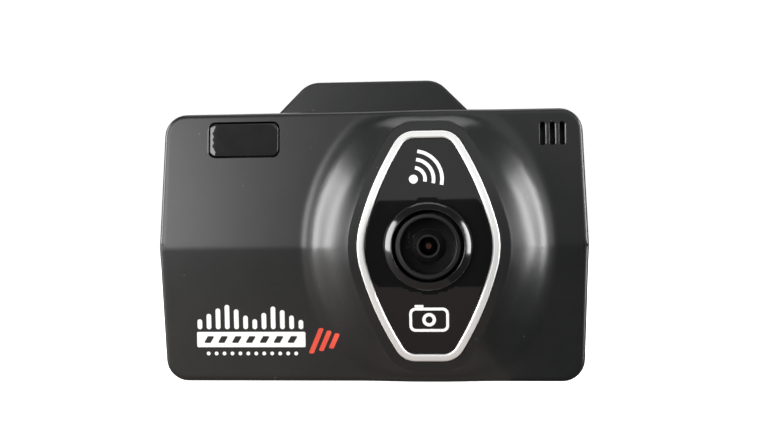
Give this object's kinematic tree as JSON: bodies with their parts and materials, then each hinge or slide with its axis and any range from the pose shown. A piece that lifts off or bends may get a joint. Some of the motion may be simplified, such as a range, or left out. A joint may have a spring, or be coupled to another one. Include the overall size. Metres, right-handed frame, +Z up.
{
  "type": "radar detector",
  "caption": "Windscreen radar and laser detector with built-in dash camera: creased black case, silver-rimmed lens pod, bracket slot on top, screen and push buttons behind.",
  "frame": {"origin": "middle of the bounding box's footprint, on the flat underside of the case", "axes": "+X to the right as seen from the lens side, along the case; +Y from the lens side to the screen side; +Z up"},
  "size_m": [0.094, 0.03, 0.0669],
  "materials": {
    "case_black": "fine moulded texture, satin black",
    "pod_silver": "brushed satin",
    "pod_gloss": "polished black",
    "ring_black": "polished black",
    "barrel_black": "black anodised",
    "lens_glass": "coated",
    "stop_grey": "satin dark grey",
    "window_black": "infrared-passing black",
    "screen_glass": "polished, black printed border",
    "foam_black": "closed-cell foam",
    "lcd_dark": "polariser film",
    "steel": "plain",
    "button_black": "satin",
    "light_clear": "milky clear",
    "board_green": "solder mask",
    "chip_black": "moulded epoxy",
    "holder_black": "glass-filled",
    "flex_amber": "polyimide",
    "horn_metal": "die cast",
    "patch_ceramic": "ceramic with silvered face",
    "battery_foil": "laminate pouch",
    "contact_gold": "gold flash",
    "card_black": "satin",
    "screw_black": "black oxide"
  },
  "bodies": {
    "case": {"front_shell": "case_black", "rear_shell": "case_black", "pod_bezel": "pod_silver", "pod_panel": "pod_gloss", "lens_ring": "ring_black", "lens_barrel": "barrel_black", "lens_front_glass": "lens_glass", "lens_inner_ring": "stop_grey", "lens_rear_glass": "lens_glass", "lens_holder": "holder_black", "camera_board": "board_green", "camera_screws": "steel", "image_sensor": "chip_black", "filter_glass": "lens_glass", "camera_flex": "flex_amber", "laser_window": "window_black", "laser_receiver": "chip_black", "speaker_gasket": "foam_black", "speaker": "chip_black", "display_lens": "screen_glass", "display_gasket": "foam_black", "lcd_panel": "lcd_dark", "lcd_backlight": "steel", "button_board": "board_green", "tact_switches": "chip_black", "board_connector": "chip_black", "status_led": "light_clear", "status_light": "light_clear", "main_board": "board_green", "processor": "chip_black", "memory_chips": "chip_black", "power_coil": "chip_black", "battery": "battery_foil", "radar_horn": "horn_metal", "radar_board": "board_green", "gps_antenna": "patch_ceramic", "gps_board": "board_green", "card_socket": "steel", "usb_socket": "steel", "microphone": "steel", "dock_contacts": "contact_gold", "case_screws": "screw_black", "board_screws": "steel"},
    "button_ok": {"button_ok": "button_black"},
    "button_down": {"button_down": "button_black"},
    "button_up": {"button_up": "button_black"},
    "button_menu": {"button_menu": "button_black"},
    "button_power": {"button_power": "button_black"},
    "memory_card": {"memory_card": "card_black"}
  },
  "joints": [
    {"name": "button_ok_press", "type": "slide", "parent": "case", "child": "button_ok", "axis": [0, -1, 0], "range_m": [0, 0.0005], "stiffness_N_per_m": 3000, "springref_m": -0.0001},
    {"name": "button_down_press", "type": "slide", "parent": "case", "child": "button_down", "axis": [0, -1, 0], "range_m": [0, 0.0005], "stiffness_N_per_m": 3000, "springref_m": -0.0001},
    {"name": "button_up_press", "type": "slide", "parent": "case", "child": "button_up", "axis": [0, -1, 0], "range_m": [0, 0.0005], "stiffness_N_per_m": 3000, "springref_m": -0.0001},
    {"name": "button_menu_press", "type": "slide", "parent": "case", "child": "button_menu", "axis": [0, -1, 0], "range_m": [0, 0.0005], "stiffness_N_per_m": 3000, "springref_m": -0.0001},
    {"name": "button_power_press", "type": "slide", "parent": "case", "child": "button_power", "axis": [0, -1, 0], "range_m": [0, 0.0005], "stiffness_N_per_m": 3000, "springref_m": -0.0001},
    {"name": "card_pull", "type": "slide", "parent": "case", "child": "memory_card", "axis": [1, 0, 0], "range_m": [0, 0.014]}
  ]
}
